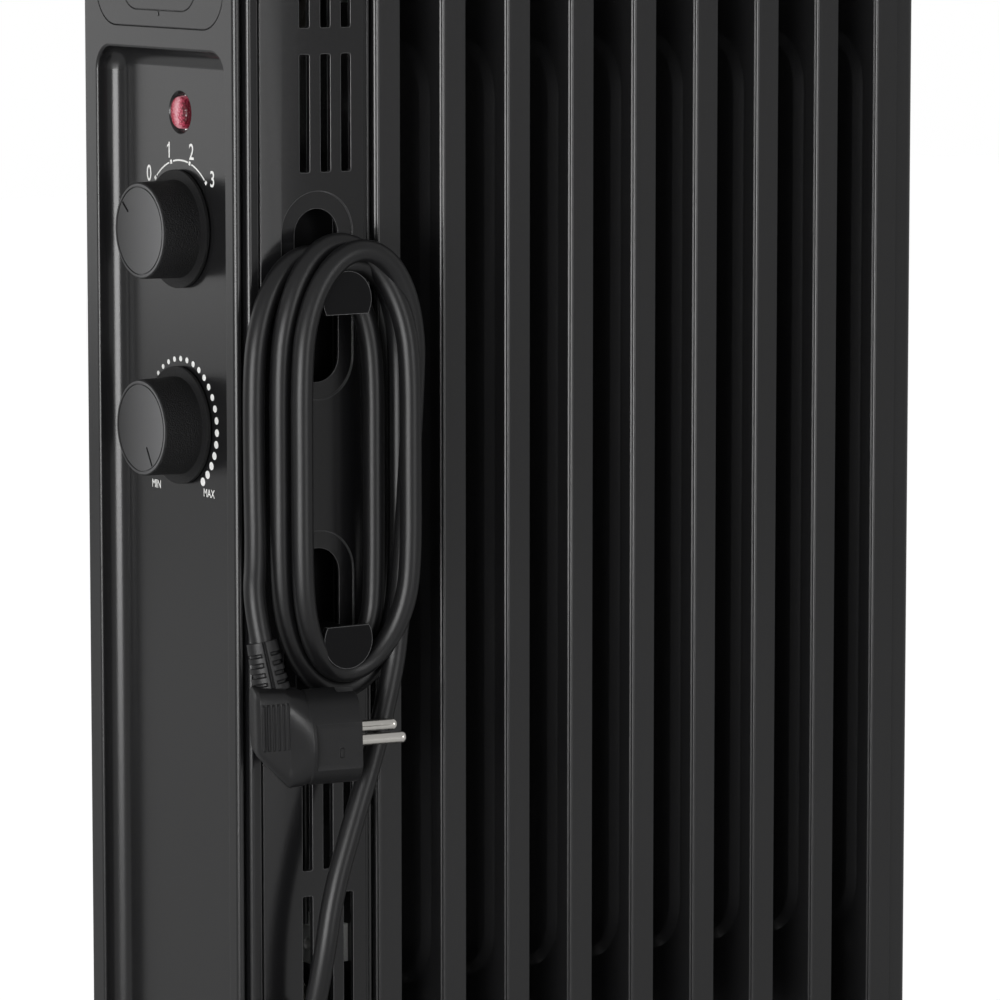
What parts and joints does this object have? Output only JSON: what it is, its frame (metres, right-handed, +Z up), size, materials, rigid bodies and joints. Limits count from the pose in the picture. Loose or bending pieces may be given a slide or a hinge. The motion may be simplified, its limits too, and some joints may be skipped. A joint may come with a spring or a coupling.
{
  "type": "oil filled radiator heater",
  "caption": "Portable oil filled radiator heater: folded steel fins behind a control housing with two knobs, a lamp, a cord on winder hooks, a carry handle and castors.",
  "frame": {"origin": "on the floor, under the middle of the object's length and width", "axes": "+Z up; -X out of the control panel, so X runs along the row of fins; -Y out of the side with the cord winder"},
  "size_m": [0.359, 0.24, 0.662],
  "materials": {
    "black_coat": "satin black baked powder coat",
    "cover_coat": "fine satin charcoal paint",
    "black_plastic": "satin moulded charcoal plastic",
    "knob_plastic": "smooth satin charcoal plastic",
    "lens_red": "translucent pink-red moulded lens",
    "white_plastic": "plain white moulded plastic",
    "cord_sheath": "satin black flexible sheath",
    "zinc": "bright zinc plate",
    "nickel_brass": "nickel plated brass",
    "heater_steel": "bare drawn steel tube",
    "tyre_plastic": "hard black moulded plastic"
  },
  "bodies": {
    "heater": {"fin_1": "black_coat", "fin_2": "black_coat", "fin_3": "black_coat", "fin_4": "black_coat", "fin_5": "black_coat", "fin_6": "black_coat", "fin_7": "black_coat", "fin_8": "black_coat", "fin_9": "black_coat", "lower_collars": "black_coat", "upper_collars": "black_coat", "manifold_caps": "black_coat", "rear_cover": "black_coat", "foot_front": "black_coat", "foot_rear": "black_coat", "foot_u_bolts": "black_coat", "wing_nuts": "black_coat", "heat_shield": "black_coat", "side_cover_cord": "cover_coat", "side_cover_plain": "cover_coat", "housing_frame": "cover_coat", "cover_screws": "cover_coat", "front_panel": "black_plastic", "badge_plate": "black_plastic", "carry_handle": "black_plastic", "cord_winder": "black_plastic", "rotary_switch": "black_plastic", "thermostat": "black_plastic", "tip_over_switch": "black_plastic", "indicator_lens": "lens_red", "indicator_lamp": "white_plastic", "terminal_block": "white_plastic", "thermal_cut_out": "white_plastic", "cord_gland": "cord_sheath", "cord_tail": "cord_sheath", "cord_coil": "cord_sheath", "cord_lead": "cord_sheath", "plug_body": "cord_sheath", "internal_wires": "cord_sheath", "shield_studs": "zinc", "handle_screws": "zinc", "thermostat_sensor": "zinc", "plug_earth_clips": "zinc", "plug_pins": "nickel_brass", "element_flange": "nickel_brass", "heating_elements": "heater_steel", "oil_filler_plug": "heater_steel"},
    "power_control": {"power_knob": "knob_plastic", "switch_shaft": "zinc"},
    "thermostat_control": {"thermostat_knob": "knob_plastic", "thermostat_shaft": "zinc"},
    "tip_over_weight": {"tip_over_pendulum": "zinc"},
    "castor_1_swivel": {"castor_fork_1": "black_plastic"},
    "castor_1_roller": {"castor_wheel_1": "tyre_plastic"},
    "castor_2_swivel": {"castor_fork_2": "black_plastic"},
    "castor_2_roller": {"castor_wheel_2": "tyre_plastic"},
    "castor_3_swivel": {"castor_fork_3": "black_plastic"},
    "castor_3_roller": {"castor_wheel_3": "tyre_plastic"},
    "castor_4_swivel": {"castor_fork_4": "black_plastic"},
    "castor_4_roller": {"castor_wheel_4": "tyre_plastic"}
  },
  "joints": [
    {"name": "power_knob_turn", "type": "hinge", "parent": "heater", "child": "power_control", "pos_m": [-0.17, -0.0015, 0.465], "axis": [1, 0, 0], "range_deg": [0, 90]},
    {"name": "thermostat_knob_turn", "type": "hinge", "parent": "heater", "child": "thermostat_control", "pos_m": [-0.17, -0.0015, 0.3835], "axis": [1, 0, 0], "range_deg": [-282, 0]},
    {"name": "tip_over_swing", "type": "hinge", "parent": "heater", "child": "tip_over_weight", "pos_m": [-0.132, 0.022, 0.124], "axis": [1, 0, 0], "range_deg": [-25, 25]},
    {"name": "castor_1_swivel_turn", "type": "hinge", "parent": "heater", "child": "castor_1_swivel", "pos_m": [-0.0815, -0.106, 0.06], "axis": [0, 0, 1], "continuous": true},
    {"name": "castor_1_roll", "type": "hinge", "parent": "castor_1_swivel", "child": "castor_1_roller", "pos_m": [-0.0675, -0.106, 0.022], "axis": [0, 1, 0], "continuous": true},
    {"name": "castor_2_swivel_turn", "type": "hinge", "parent": "heater", "child": "castor_2_swivel", "pos_m": [-0.0815, 0.106, 0.06], "axis": [0, 0, 1], "continuous": true},
    {"name": "castor_2_roll", "type": "hinge", "parent": "castor_2_swivel", "child": "castor_2_roller", "pos_m": [-0.0675, 0.106, 0.022], "axis": [0, 1, 0], "continuous": true},
    {"name": "castor_3_swivel_turn", "type": "hinge", "parent": "heater", "child": "castor_3_swivel", "pos_m": [0.1435, -0.106, 0.06], "axis": [0, 0, 1], "continuous": true},
    {"name": "castor_3_roll", "type": "hinge", "parent": "castor_3_swivel", "child": "castor_3_roller", "pos_m": [0.1575, -0.106, 0.022], "axis": [0, 1, 0], "continuous": true},
    {"name": "castor_4_swivel_turn", "type": "hinge", "parent": "heater", "child": "castor_4_swivel", "pos_m": [0.1435, 0.106, 0.06], "axis": [0, 0, 1], "continuous": true},
    {"name": "castor_4_roll", "type": "hinge", "parent": "castor_4_swivel", "child": "castor_4_roller", "pos_m": [0.1575, 0.106, 0.022], "axis": [0, 1, 0], "continuous": true}
  ]
}
